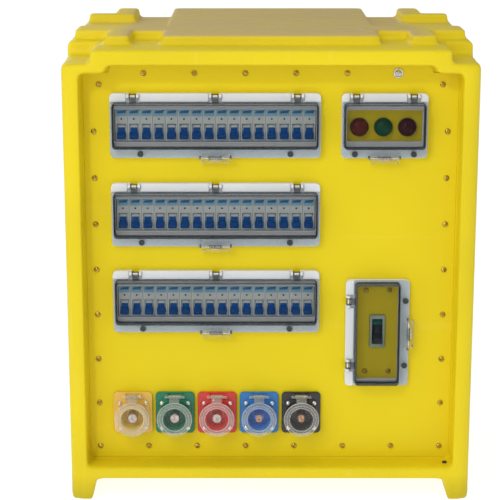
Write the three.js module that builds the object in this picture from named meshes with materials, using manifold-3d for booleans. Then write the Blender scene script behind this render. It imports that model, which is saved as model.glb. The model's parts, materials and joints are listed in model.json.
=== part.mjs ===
// Portable power distribution box: a moulded plastic housing with a screwed front panel that carries
// three rows of circuit breakers, three pilot lamps and a main switch behind hinged clear covers,
// and five single-pole power sockets with spring flaps. Eight multi-pin output sockets are at the back.
// Millimetres. +X right, +Y to the back, +Z up. The origin is on the ground, under the middle of the box.
import * as THREE from 'three';
import { mergeVertices } from 'three/addons/utils/BufferGeometryUtils.js';
import Module from 'manifold-3d';

const wasm = await Module();
wasm.setup();

// ---- Driving dimensions -------------------------------------------------------------------------
const GAP = 0.3;                // between faces that touch on the real object

// Housing
const WIDTH = 594;              // across the front; the sides spread by SIDE_SPREAD towards the back
const SIDE_SPREAD = 4;
const DEPTH = 480;
const FLOOR_LEVEL = 671.5;      // lower level of the top
const RAISED_LEVEL = 686;       // upper level of the top, and the overall height
const POCKET_LEVEL = 652;       // floor of the four stacking pockets
const UNDERSIDE = 32;
const WALL = 8;
const FRONT_CORNER = 14;
const REAR_CORNER = 50;
const FOOT_LENGTH = 108;
const REAR_FOOT_LENGTH = 88;
const FOOT_WIDTH = 32;          // at the ground
const FOOT_SPREAD = 7;          // wider at the underside
const POCKET_INNER = 255;       // side walls of the front stacking pockets
const REAR_POCKET_INNER = 250;
const FRONT_POCKET_END = -128;
const REAR_POCKET_START = 152;
const GRIP_DEPTH = 35;
const GRIP_HALF = 65;
const GRIP_BOTTOM = 425;
const GRIP_TOP = 485;

// Raised blocks of the top
const PLATEAU_HALF = 157;
const BLOCK_FRONT = -182;
const SHELF_FRONT = -108;
const SHELF_BACK = -42;
const REAR_BAR_FRONT = 133;

// Front recess and panel
const RECESS_HALF = 271.5;
const RECESS_BOTTOM = 51;
const RECESS_TOP = 649;
const RECESS_DEPTH = 40;
const GUSSET_HALF = 231;
const GUSSET_BOTTOM = 637;
const PANEL_THICK = 3;
const PANEL_CLEARANCE = 2.5;
const PANEL_FACE = -DEPTH / 2 + RECESS_DEPTH;
const SEAT_WIDTH = 28;          // width of the flange that the panels are screwed to

// Rear recess and panel
const REAR_HALF = 238;
const REAR_DEPTH = 30;
const REAR_RECESS_BOTTOM = 60;
const REAR_FACE = DEPTH / 2 - REAR_DEPTH;

// Hinged windows
const WINDOW_HEIGHT = 94;
const FRAME_THICK = 6;
const BAND = 13;                // raised band of the frame that carries the hinge
const HINGE_Z = 43;
const HINGE_Y = -10.2;
const KNUCKLE = 3.4;
const KNUCKLE_WIDTH = 10;
const DOME_FRONT = -26;
const DOME_WALL = 2.4;
const LATCH_Z = -45.5;
const LATCH_Y = -16;
const LATCH_WIDTH = 40;

// Breakers
const MODULE = 18;
const MODULES = 16;
const NOSE_HEIGHT = 45;
const NOSE_FACE = -3;           // in front of the panel face
const TOGGLE_Z = -6.5;
const TOGGLE_Y = 4;
const TOGGLE_REACH = 19;
const TOGGLE_REST = -40;        // degrees below level, switched off
const TOGGLES_PER_BAR = 4;

const ROW_X = -79.5;
const rowWindow = (name, z) => ({
  name, x: ROW_X, z, length: 303, opening: [290, 47], hinges: [-118, 0, 118], turn: 0,
});
const WINDOWS = [
  rowWindow('row1', 559),
  rowWindow('row2', 428),
  rowWindow('row3', 297.5),
  { name: 'lamps', x: 163.5, z: 558.7, length: 124, opening: [104, 44], hinges: [-41, 41], turn: 0 },
  { name: 'switch', x: 158, z: 249.5, length: 162, opening: [142, 60], hinges: [-49, 49], turn: -90 },
];
const ROWS = WINDOWS.filter((window) => window.name.startsWith('row'));

const LAMPS = [
  { name: 'left', x: 127.3, colour: 0x8a2414 },
  { name: 'middle', x: 161.8, colour: 0x0f6a45 },
  { name: 'right', x: 196.3, colour: 0x5c0d14 },
];
const LAMP_Z = 556.2;

const SOCKET_PITCH = 62.8;
const SOCKET_Z = 120.7;
const SOCKETS = [
  { name: 'yellow', colour: 0xd9a628 },
  { name: 'green', colour: 0x0c7a52 },
  { name: 'red', colour: 0xd23a2e },
  { name: 'blue', colour: 0x2272c4 },
  { name: 'black', colour: 0x34322f },
];
const FLAP_HINGE_Z = 32;
const FLAP_HINGE_Y = -13;
const BORE_END = -1;            // the bore of a socket ends just in front of the panel

const SWITCH_X = 158.5;
const SWITCH_Z = 251;
const HANDLE_Y = 18;
const HANDLE_REST = 25;         // degrees below level, switched off
const DRUM_RADIUS = 20;
const SLOT_HALF = 7.8;

const OUTPUT_COLUMNS = [-165, -55, 55, 165];
const OUTPUT_ROWS = [420, 280];

// ---- Shapes -------------------------------------------------------------------------------------
function solid(geometry) {
  geometry.deleteAttribute('normal');
  geometry.deleteAttribute('uv');
  const merged = mergeVertices(geometry, 1e-4);
  return new wasm.Manifold(new wasm.Mesh({
    numProp: 3,
    vertProperties: new Float32Array(merged.attributes.position.array),
    triVerts: new Uint32Array(merged.index.array),
  }));
}

function box(x0, x1, y0, y1, z0, z1) {
  const geometry = new THREE.BoxGeometry(x1 - x0, y1 - y0, z1 - z0);
  geometry.translate((x0 + x1) / 2, (y0 + y1) / 2, (z0 + z1) / 2);
  return solid(geometry);
}

// A box that is the same on both sides of the middle plane.
function wideBox(half, y0, y1, z0, z1) {
  return box(-half, half, y0, y1, z0, z1);
}

function rodX(radius, x0, x1, y, z, sides) {
  const geometry = new THREE.CylinderGeometry(radius, radius, x1 - x0, sides);
  geometry.rotateZ(Math.PI / 2);
  geometry.translate((x0 + x1) / 2, y, z);
  return solid(geometry);
}

function rodY(radius, y0, y1, x, z, sides) {
  const geometry = new THREE.CylinderGeometry(radius, radius, y1 - y0, sides);
  geometry.translate(x, (y0 + y1) / 2, z);
  return solid(geometry);
}

// A rectangle with one rounding for its lower and one for its upper corners.
function panelShape(x0, x1, z0, z1, lowRadius, highRadius = lowRadius) {
  const shape = new THREE.Shape();
  shape.absarc(x1 - lowRadius, z0 + lowRadius, lowRadius, -Math.PI / 2, 0);
  shape.absarc(x1 - highRadius, z1 - highRadius, highRadius, 0, Math.PI / 2);
  shape.absarc(x0 + highRadius, z1 - highRadius, highRadius, Math.PI / 2, Math.PI);
  shape.absarc(x0 + lowRadius, z0 + lowRadius, lowRadius, Math.PI, Math.PI * 1.5);
  return shape;
}

// Extrudes a shape drawn in X and Z from y0 back to y1.
function plate(shape, y0, y1, curveSegments = 2) {
  const geometry = new THREE.ExtrudeGeometry(shape, { depth: y1 - y0, bevelEnabled: false, curveSegments });
  geometry.rotateX(Math.PI / 2);
  geometry.translate(0, y1, 0);
  return solid(geometry);
}

// Extrudes an outline of [y, z] points from x0 to x1.
function profileX(points, x0, x1) {
  const shape = new THREE.Shape(points.map(([y, z]) => new THREE.Vector2(y, z)));
  const geometry = new THREE.ExtrudeGeometry(shape, { depth: x1 - x0, bevelEnabled: false });
  geometry.rotateX(Math.PI / 2);
  geometry.rotateZ(Math.PI / 2);
  geometry.translate(x0, 0, 0);
  return solid(geometry);
}

function mirrored(part) {
  return part.add(part.mirror([1, 0, 0]));
}

function joined(parts) {
  return parts.reduce((sum, part) => sum.add(part));
}

function cut(part, tools) {
  return tools.reduce((rest, tool) => rest.subtract(tool), part);
}

function plastic(colour, roughness = 0.5) {
  return new THREE.MeshStandardMaterial({ color: colour, roughness, metalness: 0 });
}

function metal(colour, roughness = 0.35) {
  return new THREE.MeshStandardMaterial({ color: colour, roughness, metalness: 1 });
}

function clear(colour, opacity) {
  return new THREE.MeshStandardMaterial({ color: colour, roughness: 0.1, transparent: true, opacity });
}

function named(name, part, material) {
  const { vertProperties, triVerts } = part.getMesh();
  const geometry = new THREE.BufferGeometry();
  geometry.setAttribute('position', new THREE.BufferAttribute(vertProperties, 3));
  geometry.setIndex(new THREE.BufferAttribute(triVerts, 1));
  const mesh = new THREE.Mesh(geometry, material);
  mesh.name = name;
  return mesh;
}

// ---- Housing ------------------------------------------------------------------------------------
// Seen from above: straight sides that spread towards the back, with small front and large rear corners.
function planOutline() {
  const front = WIDTH / 2;
  const back = front + SIDE_SPREAD;
  const nearEnd = -DEPTH / 2;
  const farEnd = DEPTH / 2;
  const shape = new THREE.Shape();
  shape.absarc(front - FRONT_CORNER, nearEnd + FRONT_CORNER, FRONT_CORNER, -Math.PI / 2, 0);
  shape.absarc(back - REAR_CORNER, farEnd - REAR_CORNER, REAR_CORNER, 0, Math.PI / 2);
  shape.absarc(-back + REAR_CORNER, farEnd - REAR_CORNER, REAR_CORNER, Math.PI / 2, Math.PI);
  shape.absarc(-front + FRONT_CORNER, nearEnd + FRONT_CORNER, FRONT_CORNER, Math.PI, Math.PI * 1.5);
  return shape;
}

function column(bottom, top) {
  const options = { depth: top - bottom, bevelEnabled: false, curveSegments: 5 };
  const geometry = new THREE.ExtrudeGeometry(planOutline(), options);
  geometry.translate(0, 0, bottom);
  return solid(geometry);
}

function feet() {
  const half = WIDTH / 2;
  const side = new THREE.Shape([
    new THREE.Vector2(half - FOOT_WIDTH, 0),
    new THREE.Vector2(half + SIDE_SPREAD, 0),
    new THREE.Vector2(half + SIDE_SPREAD, UNDERSIDE + 1),
    new THREE.Vector2(half - FOOT_WIDTH - FOOT_SPREAD, UNDERSIDE + 1),
  ]);
  const front = plate(side, -DEPTH / 2, -DEPTH / 2 + FOOT_LENGTH);
  const back = plate(side, DEPTH / 2 - REAR_FOOT_LENGTH, DEPTH / 2);
  return mirrored(front.add(back)).intersect(column(0, UNDERSIDE + 1));
}

// The raised blocks of the top: a full-depth plateau in the middle, and on each side of it
// a shelf with a block in front, and further back a bar with a block behind.
function topBlocks() {
  const base = FLOOR_LEVEL - 1;
  const plateau = wideBox(PLATEAU_HALF, BLOCK_FRONT, DEPTH / 2, base, RAISED_LEVEL);
  const shelf = box(PLATEAU_HALF - 1, 288, SHELF_FRONT, SHELF_BACK, base, RAISED_LEVEL);
  const frontBlock = box(202, 239, BLOCK_FRONT, SHELF_FRONT + 1, base, RAISED_LEVEL);
  const rearBar = box(215, 290, REAR_BAR_FRONT, REAR_POCKET_START, base, RAISED_LEVEL);
  const rearBlock = box(215, REAR_POCKET_INNER, REAR_BAR_FRONT, DEPTH / 2, base, RAISED_LEVEL);
  const sides = mirrored(joined([shelf, frontBlock, rearBar, rearBlock]));
  return plateau.add(sides).intersect(column(base, RAISED_LEVEL));
}

function stackingPockets() {
  const side = WIDTH / 2 + SIDE_SPREAD + 1;
  const end = DEPTH / 2 + 1;
  const front = box(POCKET_INNER, side, -end, FRONT_POCKET_END, POCKET_LEVEL, RAISED_LEVEL + 1);
  const back = box(REAR_POCKET_INNER, side, REAR_POCKET_START, end, POCKET_LEVEL, RAISED_LEVEL + 1);
  return mirrored(front.add(back));
}

// The hollow for the fingers in a side wall, made larger all round by the margin.
function handGrip(margin) {
  const inner = WIDTH / 2 - GRIP_DEPTH - margin;
  const outer = WIDTH / 2 + SIDE_SPREAD + 1;
  const half = GRIP_HALF + margin;
  return box(inner, outer, -half, half, GRIP_BOTTOM - margin, GRIP_TOP + margin);
}

function frontOutline(clearance) {
  const half = RECESS_HALF - clearance;
  const bottom = RECESS_BOTTOM + clearance;
  const step = GUSSET_HALF - clearance;
  const stepBottom = GUSSET_BOTTOM - clearance;
  const top = RECESS_TOP - clearance;
  const points = [
    [-half, bottom], [half, bottom], [half, stepBottom], [step + 4, stepBottom], [step, top],
    [-step, top], [-step - 4, stepBottom], [-half, stepBottom],
  ];
  return new THREE.Shape(points.map(([x, z]) => new THREE.Vector2(x, z)));
}

function rearOutline(clearance) {
  const half = REAR_HALF - clearance;
  return panelShape(-half, half, REAR_RECESS_BOTTOM + clearance, GUSSET_BOTTOM - clearance, 12);
}

function shell() {
  const half = WIDTH / 2;
  const side = half + SIDE_SPREAD;
  const block = column(UNDERSIDE, FLOOR_LEVEL);
  const front = plate(panelShape(-side, side, UNDERSIDE, FLOOR_LEVEL, 2, 12), -DEPTH / 2, DEPTH / 2);
  const body = block.intersect(front).add(topBlocks()).add(feet());
  const seatFront = PANEL_FACE + PANEL_THICK + GAP;
  const seatBack = seatFront + WALL;
  const rearSeatBack = REAR_FACE - PANEL_THICK - GAP;
  const rearSeatFront = rearSeatBack - WALL;
  const roomBottom = UNDERSIDE + WALL;
  const lowRoom = wideBox(half - WALL, seatBack, rearSeatFront, roomBottom, POCKET_LEVEL - WALL);
  const highRoom = wideBox(REAR_POCKET_INNER - WALL, seatBack, rearSeatFront, 600, FLOOR_LEVEL - WALL);
  const rearCorners = mirrored(box(REAR_POCKET_INNER, side, REAR_POCKET_START, DEPTH / 2, 0, FLOOR_LEVEL));
  const room = lowRoom.add(highRoom).subtract(mirrored(handGrip(WALL))).subtract(rearCorners);
  const windowBottom = RECESS_BOTTOM + SEAT_WIDTH;
  const windowTop = GUSSET_BOTTOM - SEAT_WIDTH;
  const frontHole = wideBox(
    RECESS_HALF - SEAT_WIDTH, PANEL_FACE, seatBack + 1, windowBottom, RECESS_TOP - SEAT_WIDTH,
  );
  const rearHole = wideBox(
    REAR_HALF - SEAT_WIDTH, rearSeatFront - 1, REAR_FACE, REAR_RECESS_BOTTOM + SEAT_WIDTH, windowTop,
  );
  return cut(body, [
    stackingPockets(),
    mirrored(handGrip(0)),
    plate(frontOutline(0), -DEPTH / 2 - 1, seatFront),
    plate(rearOutline(0), rearSeatBack, DEPTH / 2 + 1),
    room,
    frontHole,
    rearHole,
  ]);
}

// ---- Panels -------------------------------------------------------------------------------------
function frontPanel() {
  const back = PANEL_FACE + PANEL_THICK;
  const blank = plate(frontOutline(PANEL_CLEARANCE), PANEL_FACE, back);
  const through = (x, z, width, height) => box(
    x - width / 2, x + width / 2, PANEL_FACE - 1, back + 1, z - height / 2, z + height / 2,
  );
  const rowSlots = ROWS.map((row) => through(row.x, row.z, row.opening[0], row.opening[1]));
  const lampHoles = LAMPS.map((lamp) => rodY(11.9, PANEL_FACE - 1, back + 1, lamp.x, LAMP_Z, 12));
  const socketHoles = SOCKETS.map((socket, index) => (
    rodY(20.8, PANEL_FACE - 1, back + 1, socketX(index), SOCKET_Z, 12)
  ));
  const switchSlot = through(SWITCH_X, SWITCH_Z, 23, 50);
  return cut(blank, [...rowSlots, ...lampHoles, ...socketHoles, switchSlot]);
}

function rearPanel() {
  const front = REAR_FACE - PANEL_THICK;
  const blank = plate(rearOutline(0.5), front, REAR_FACE);
  const holes = outputPlaces().map(([x, z]) => rodY(20.8, front - 1, REAR_FACE + 1, x, z, 12));
  return cut(blank, holes);
}

// ---- Hinged windows -----------------------------------------------------------------------------
// Drawn round the middle of the frame, with the hinge along the top and the panel face at y = 0.
function windowFrame({ length, opening, hinges }) {
  const half = length / 2;
  const high = WINDOW_HEIGHT / 2;
  const base = plate(panelShape(-half, half, -high, high, 9), -FRAME_THICK, -GAP);
  const band = plate(panelShape(-half, half, high - BAND + 0.5, high, 2, 9), -9.6, -FRAME_THICK + 1);
  const catchLedge = box(-16, 16, -FRAME_THICK, -2, -high - 5, -high + 1);
  const [openLength, openHeight] = opening;
  const hole = box(-openLength / 2, openLength / 2, -20, 1, -openHeight / 2, openHeight / 2);
  const notches = hinges.map((x) => box(x - 9.5, x + 9.5, -12, -FRAME_THICK, high - BAND, high + 1));
  const pins = hinges.map((x) => rodX(1.2, x - 8, x + 8, HINGE_Y, HINGE_Z, 6));
  return joined([cut(base.add(band), [hole, ...notches]), catchLedge, ...hinges.map(hingeLugs), ...pins]);
}

function hingeLugs(x) {
  const lug = (x0, x1) => box(
    x0, x1, HINGE_Y - KNUCKLE, -FRAME_THICK + 1, HINGE_Z - KNUCKLE, HINGE_Z + KNUCKLE,
  );
  const inner = KNUCKLE_WIDTH / 2 + GAP;
  return lug(x - 9, x - inner).add(lug(x + inner, x + 9));
}

function windowCover({ length, hinges }) {
  const half = length / 2;
  const top = WINDOW_HEIGHT / 2 - BAND - 0.5;
  const flangeFront = -9.5;
  const flangeBack = -FRAME_THICK - 0.4;
  const flange = plate(panelShape(-half, half, -WINDOW_HEIGHT / 2, top, 9, 2), flangeFront, flangeBack);
  const domeHalf = half - 3.2;
  const bevel = 3;
  const domeShape = panelShape(-domeHalf + bevel, domeHalf - bevel, -34 + bevel, 32.5 - bevel, 4);
  const domeGeometry = new THREE.ExtrudeGeometry(domeShape, {
    depth: flangeBack - DOME_FRONT - 2 * bevel,
    bevelThickness: bevel,
    bevelSize: bevel,
    bevelSegments: 1,
    curveSegments: 1,
  });
  domeGeometry.rotateX(Math.PI / 2);
  domeGeometry.translate(0, flangeBack - bevel, 0);
  const dome = solid(domeGeometry);
  const inside = domeHalf - DOME_WALL;
  const hollow = plate(
    panelShape(-inside, inside, -34 + DOME_WALL, 32.5 - DOME_WALL, 4), DOME_FRONT + DOME_WALL, 0, 1,
  );
  const arms = hinges.map((x) => coverArm(x));
  const lug = box(LATCH_WIDTH / 2 + 0.6, LATCH_WIDTH / 2 + 3.6, LATCH_Y - 2.5, flangeFront + 1, -47, -43);
  const pivotHole = rodX(1.8, -30, 30, LATCH_Y, LATCH_Z, 6);
  const bores = hinges.map((x) => rodX(1.9, x - 6, x + 6, HINGE_Y, HINGE_Z, 6));
  const body = joined([flange, dome]).subtract(hollow);
  return cut(joined([body, ...arms, mirrored(lug)]), [...bores, pivotHole]);
}

function coverArm(x) {
  const half = KNUCKLE_WIDTH / 2;
  const knuckle = rodX(KNUCKLE, x - half, x + half, HINGE_Y, HINGE_Z, 8);
  return knuckle.add(box(x - half, x + half, -12.8, -9.2, 31, 41));
}

function windowLatch() {
  const half = LATCH_WIDTH / 2;
  const face = box(-half, half, LATCH_Y - 1.5, LATCH_Y + 1.5, -57, -37.5);
  const lip = box(-half + 3, half - 3, LATCH_Y, -3, -57, -54);
  const barrel = rodX(2.4, -half, half, LATCH_Y, LATCH_Z, 8);
  const pivot = rodX(1.2, -half - 3, half + 3, LATCH_Y, LATCH_Z, 6);
  return joined([face, lip, barrel, pivot]);
}

function windowSet(window) {
  const group = new THREE.Group();
  group.position.set(window.x, PANEL_FACE, window.z);
  group.rotation.y = THREE.MathUtils.degToRad(window.turn);
  group.add(named(`window_frame_${window.name}`, windowFrame(window), plastic(0xd9dde0, 0.45)));
  group.add(named(`window_cover_${window.name}`, windowCover(window), clear(0x55616a, 0.45)));
  group.add(named(`window_latch_${window.name}`, windowLatch(), clear(0xe6e2d4, 0.5)));
  return group;
}

// ---- Breakers -----------------------------------------------------------------------------------
// Drawn round the middle of the breaker noses, with the panel face at y = 0.
function breakerBank() {
  const half = (MODULES * MODULE) / 2;
  const nose = NOSE_HEIGHT / 2;
  const shoulder = 12;
  const back = 67;
  const outline = [
    [NOSE_FACE, -nose], [shoulder, -nose], [shoulder, -40], [back, -40], [back, -18], [back - 5, -18],
    [back - 5, 18], [back, 18], [back, 40], [shoulder, 40], [shoulder, nose], [NOSE_FACE, nose],
  ];
  const body = profileX(outline, -half, half);
  const slots = modulePlaces().map((x) => box(x - 6.7, x + 6.7, NOSE_FACE - 1, 13, -17.5, 4));
  const room = 2.8;             // round the bar that joins the handles
  const tunnel = box(
    -half - 1, half + 1, TOGGLE_Y - room, TOGGLE_Y + room, TOGGLE_Z - room, TOGGLE_Z + room,
  );
  return cut(body, [...slots, tunnel]);
}

function modulePlaces() {
  return Array.from({ length: MODULES }, (_, index) => (index - (MODULES - 1) / 2) * MODULE);
}

// Four handles on one hidden bar. They point down and out at rest.
function toggleBar(places) {
  const handle = (x) => {
    const paddle = new THREE.Shape([
      new THREE.Vector2(x - 4.8, 0),
      new THREE.Vector2(x - 6.2, -TOGGLE_REACH),
      new THREE.Vector2(x + 6.2, -TOGGLE_REACH),
      new THREE.Vector2(x + 4.8, 0),
    ]);
    const geometry = new THREE.ExtrudeGeometry(paddle, { depth: 5.6, bevelEnabled: false });
    geometry.translate(0, 0, -2.8);
    return solid(geometry).add(rodX(8, x - 5, x + 5, 0, 0, 8));
  };
  const reach = ((TOGGLES_PER_BAR - 1) / 2) * MODULE;
  const middle = (places[0] + places[places.length - 1]) / 2;
  const bar = rodX(2.4, middle - reach, middle + reach, 0, 0, 4);
  return joined([bar, ...places.map(handle)]);
}

function dinRail() {
  const half = (MODULES * MODULE) / 2 + 14;
  const outline = [
    [0, -17.3], [1, -17.3], [1, -13.5], [7.5, -13.5], [7.5, 13.5], [1, 13.5], [1, 17.3], [0, 17.3],
    [0, 12.5], [6.5, 12.5], [6.5, -12.5], [0, -12.5],
  ];
  const rail = profileX(outline.map(([y, z]) => [y + 62.5, z]), -half, half);
  const leg = box(half - 2, half, PANEL_THICK + GAP, 69.5, -17.3, 17.3);
  const foot = box(half - 12, half, PANEL_THICK + GAP, PANEL_THICK + GAP + 2, -17.3, 17.3);
  return rail.add(mirrored(leg.add(foot)));
}

function breakerRow(row) {
  const group = new THREE.Group();
  group.position.set(row.x, PANEL_FACE, row.z);
  group.add(named(`breaker_bank_${row.name}`, breakerBank(), plastic(0xcfd3cf, 0.5)));
  group.add(named(`din_rail_${row.name}`, dinRail(), metal(0xb4b7b8)));
  const places = modulePlaces();
  ['a', 'b', 'c', 'd'].forEach((letter, index) => {
    const own = places.slice(index * TOGGLES_PER_BAR, (index + 1) * TOGGLES_PER_BAR);
    const toggle = named(`breaker_toggle_${row.name}_${letter}`, toggleBar(own), plastic(0x1d4fb0, 0.4));
    toggle.position.set(0, TOGGLE_Y, TOGGLE_Z);
    toggle.rotation.x = THREE.MathUtils.degToRad(-TOGGLE_REST);
    group.add(toggle);
  });
  return group;
}

// ---- Pilot lamps and main switch ----------------------------------------------------------------
function pilotLamp({ name, x, colour }) {
  const dome = [[0, -14], [7, -13], [11.5, -9.5], [13.5, -4]];
  const points = [...dome, [13.5, -GAP], [11.2, -GAP], [11.2, 42], [0, 42]];
  const geometry = new THREE.LatheGeometry(points.map(([r, y]) => new THREE.Vector2(r, y)), 12);
  const lamp = named(`pilot_lamp_${name}`, solid(geometry), plastic(colour, 0.15));
  lamp.position.set(x, PANEL_FACE, LAMP_Z);
  return lamp;
}

function mainSwitchBody() {
  const front = PANEL_THICK + GAP;
  const body = wideBox(52, front, 86, -82, 82);
  const nose = wideBox(11, -3.5, front + 1, -24.5, 24.5);
  const slot = wideBox(SLOT_HALF, -10, HANDLE_Y + DRUM_RADIUS + 1, -19, 19);
  const drumRoom = rodX(DRUM_RADIUS + 1, -SLOT_HALF, SLOT_HALF, HANDLE_Y, 0, 16);
  const terminals = [-35, 0, 35].flatMap((x) => [
    box(x - 11, x + 11, front + 12, 60, 64, 90),
    box(x - 11, x + 11, front + 12, 60, -90, -64),
  ]);
  return cut(body.add(nose), [slot, drumRoom, ...terminals]);
}

function mainSwitchHandle() {
  const half = SLOT_HALF - 0.6;
  const drum = rodX(DRUM_RADIUS, -half, half, 0, 0, 16);
  const lever = box(-6, 6, -35, 0, -6.5, 6.5);
  return drum.add(lever);
}

function mainSwitch() {
  const group = new THREE.Group();
  group.position.set(SWITCH_X, PANEL_FACE, SWITCH_Z);
  group.add(named('main_switch_body', mainSwitchBody(), plastic(0x6f8076, 0.5)));
  const handle = named('main_switch_handle', mainSwitchHandle(), plastic(0x1c2422, 0.4));
  handle.position.set(0, HANDLE_Y, 0);
  handle.rotation.x = THREE.MathUtils.degToRad(HANDLE_REST);
  group.add(handle);
  return group;
}

// ---- Front sockets ------------------------------------------------------------------------------
function socketX(index) {
  return -79 + (index - (SOCKETS.length - 1) / 2) * SOCKET_PITCH;
}

// Drawn round the socket's axis, with the panel face at y = 0.
function frontSocket() {
  const flange = plate(panelShape(-29, 29, -28, 36, 6), -6, -GAP);
  const barrel = rodY(22.5, -29, -5, 0, 0, 16);
  const rear = rodY(20, -1, 40, 0, 0, 12);
  const bore = rodY(16.5, -30, BORE_END, 0, 0, 12);
  const contact = rodY(6.5, -21, BORE_END + 1, 0, 0, 10);
  const lug = box(9.5, 13, FLAP_HINGE_Y - 2.6, -5, FLAP_HINGE_Z - 2.6, FLAP_HINGE_Z + 2.6);
  const pin = rodX(1.1, -10, 10, FLAP_HINGE_Y, FLAP_HINGE_Z, 6);
  return joined([joined([flange, barrel, rear]).subtract(bore), contact, mirrored(lug), pin]);
}

function socketFlap() {
  const disc = rodY(26, -35, -29.5, 0, 0, 20);
  const hollow = rodY(18, -33, -29, 0, 0, 16);
  const arm = box(-7.5, 7.5, -35, -31, 20, FLAP_HINGE_Z + 2.6);
  const leg = box(-7.5, 7.5, -35, FLAP_HINGE_Y, FLAP_HINGE_Z - 2.6, FLAP_HINGE_Z + 2.6);
  const knuckle = rodX(2.6, -9.2, 9.2, FLAP_HINGE_Y, FLAP_HINGE_Z, 8);
  const bore = rodX(1.6, -10, 10, FLAP_HINGE_Y, FLAP_HINGE_Z, 8);
  return joined([disc.subtract(hollow), arm, leg, knuckle]).subtract(bore);
}

function socketSet({ name, colour }, index) {
  const group = new THREE.Group();
  group.position.set(socketX(index), PANEL_FACE, SOCKET_Z);
  group.add(named(`supply_socket_${name}`, frontSocket(), plastic(colour, 0.45)));
  group.add(named(`socket_flap_${name}`, socketFlap(), clear(0xe8e6da, 0.4)));
  return group;
}

// ---- Rear sockets and earth bar -----------------------------------------------------------------
function outputPlaces() {
  return OUTPUT_ROWS.flatMap((z) => OUTPUT_COLUMNS.map((x) => [x, z]));
}

function outputSocket([x, z], index) {
  const flange = plate(panelShape(-28, 28, -28, 28, 5), GAP, 4.5, 1);
  const barrel = rodY(22, 3, 22, 0, 0, 12);
  const rear = rodY(20, -36, 1, 0, 0, 12);
  const recess = rodY(18, 19, 23, 0, 0, 12);
  const socket = joined([flange, barrel, rear]).subtract(recess);
  const mesh = named(`output_socket_${index + 1}`, socket, metal(0x2b2d2f, 0.45));
  mesh.position.set(x, REAR_FACE, z);
  return mesh;
}

function earthBar() {
  const bar = box(96, 232, PANEL_FACE + PANEL_THICK + GAP, PANEL_FACE + PANEL_THICK + GAP + 6, 590, 608);
  const holes = [108, 130, 152, 174, 196, 218].map((x) => rodY(3, PANEL_FACE, PANEL_FACE + 20, x, 599, 8));
  return cut(bar, holes);
}

// ---- The whole box ------------------------------------------------------------------------------
const group = new THREE.Group();
group.add(named('enclosure_shell', shell(), plastic(0xe8cc1f, 0.55)));
group.add(named('front_panel', frontPanel(), plastic(0xe8cc1f, 0.5)));
group.add(named('rear_panel', rearPanel(), plastic(0xe8cc1f, 0.5)));
WINDOWS.forEach((window) => group.add(windowSet(window)));
ROWS.forEach((row) => group.add(breakerRow(row)));
LAMPS.forEach((lamp) => group.add(pilotLamp(lamp)));
group.add(mainSwitch());
SOCKETS.forEach((socket, index) => group.add(socketSet(socket, index)));
outputPlaces().forEach((place, index) => group.add(outputSocket(place, index)));
group.add(named('earth_bar', earthBar(), metal(0xb8703c)));

export default group;
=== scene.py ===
"""The looks of a portable power distribution box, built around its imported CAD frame.

+X is right, +Y back and +Z up. The scene is in metres. The mesh tools take millimetres, and their
meshes are in metres. Each window is built in its own space: x along its hinge, z up to the hinge and
y back from the panel face, so what stands out of the panel has a negative y.
"""
import json
import math
import random

import bmesh
import bpy
from mathutils import Matrix, Vector


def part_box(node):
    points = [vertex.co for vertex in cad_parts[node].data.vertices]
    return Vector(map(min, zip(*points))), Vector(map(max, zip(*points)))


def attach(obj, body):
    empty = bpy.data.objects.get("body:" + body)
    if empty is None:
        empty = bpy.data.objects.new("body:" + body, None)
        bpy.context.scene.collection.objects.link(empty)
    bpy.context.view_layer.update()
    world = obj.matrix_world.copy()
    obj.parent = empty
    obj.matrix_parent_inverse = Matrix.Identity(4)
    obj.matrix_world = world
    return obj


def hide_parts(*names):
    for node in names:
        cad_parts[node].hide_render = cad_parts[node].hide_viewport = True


MM = 0.001
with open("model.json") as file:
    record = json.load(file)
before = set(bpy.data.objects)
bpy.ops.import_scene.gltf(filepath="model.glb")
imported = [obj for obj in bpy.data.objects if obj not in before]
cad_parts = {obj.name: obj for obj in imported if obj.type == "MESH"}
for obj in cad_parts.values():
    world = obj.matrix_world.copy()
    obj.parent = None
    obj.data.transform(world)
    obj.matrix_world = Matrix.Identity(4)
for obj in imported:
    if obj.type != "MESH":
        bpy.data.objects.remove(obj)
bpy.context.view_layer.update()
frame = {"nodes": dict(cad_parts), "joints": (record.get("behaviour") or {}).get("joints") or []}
scene = bpy.context.scene
dice = random.Random(7)


# ---- Camera, floor and light --------------------------------------------------------------------
CAMERA_PLACE = (-0.0277, -2.5488, 0.9415)
CAMERA_PITCH = 13.585
CAMERA_TURN = 0.05
CAMERA_LENS = 118.8
BOX_MIDDLE = (0, 0, 0.35)
# Each light's place, what it points at, its width and height, and its power in watts.
LIGHTS = {
    "front_light": ((-1.8, -2.85, 1.9), BOX_MIDDLE, (2.4, 2.0), 27),
    "glint_light": ((-0.9, -2.2, 2.2), BOX_MIDDLE, (0.2, 0.2), 13),
    "top_light": ((0.1, -1.3, 3.0), (0, -0.1, 0.5), (2.4, 1.2), 9),
    "left_light": ((-2.6, -1.2, 1.6), BOX_MIDDLE, (1.6, 1.8), 5),
    "right_light": ((2.6, -1.0, 1.6), BOX_MIDDLE, (1.6, 1.8), 7),
    "back_light": ((-1.6, 2.4, 1.9), BOX_MIDDLE, (2.0, 1.6), 18),
}
SKY_STRENGTH = 0.415
FLOOR_GREY = (0.36, 0.36, 0.36)
FLOOR_GLOW = 0.86


def make_camera():
    camera = bpy.data.cameras.new("camera")
    camera.lens = CAMERA_LENS
    camera.sensor_width = 36
    camera.clip_end = 50
    holder = bpy.data.objects.new("camera", camera)
    holder.location = CAMERA_PLACE
    holder.rotation_euler = (math.radians(90 - CAMERA_PITCH), 0, math.radians(CAMERA_TURN))
    scene.collection.objects.link(holder)
    scene.camera = holder


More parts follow.
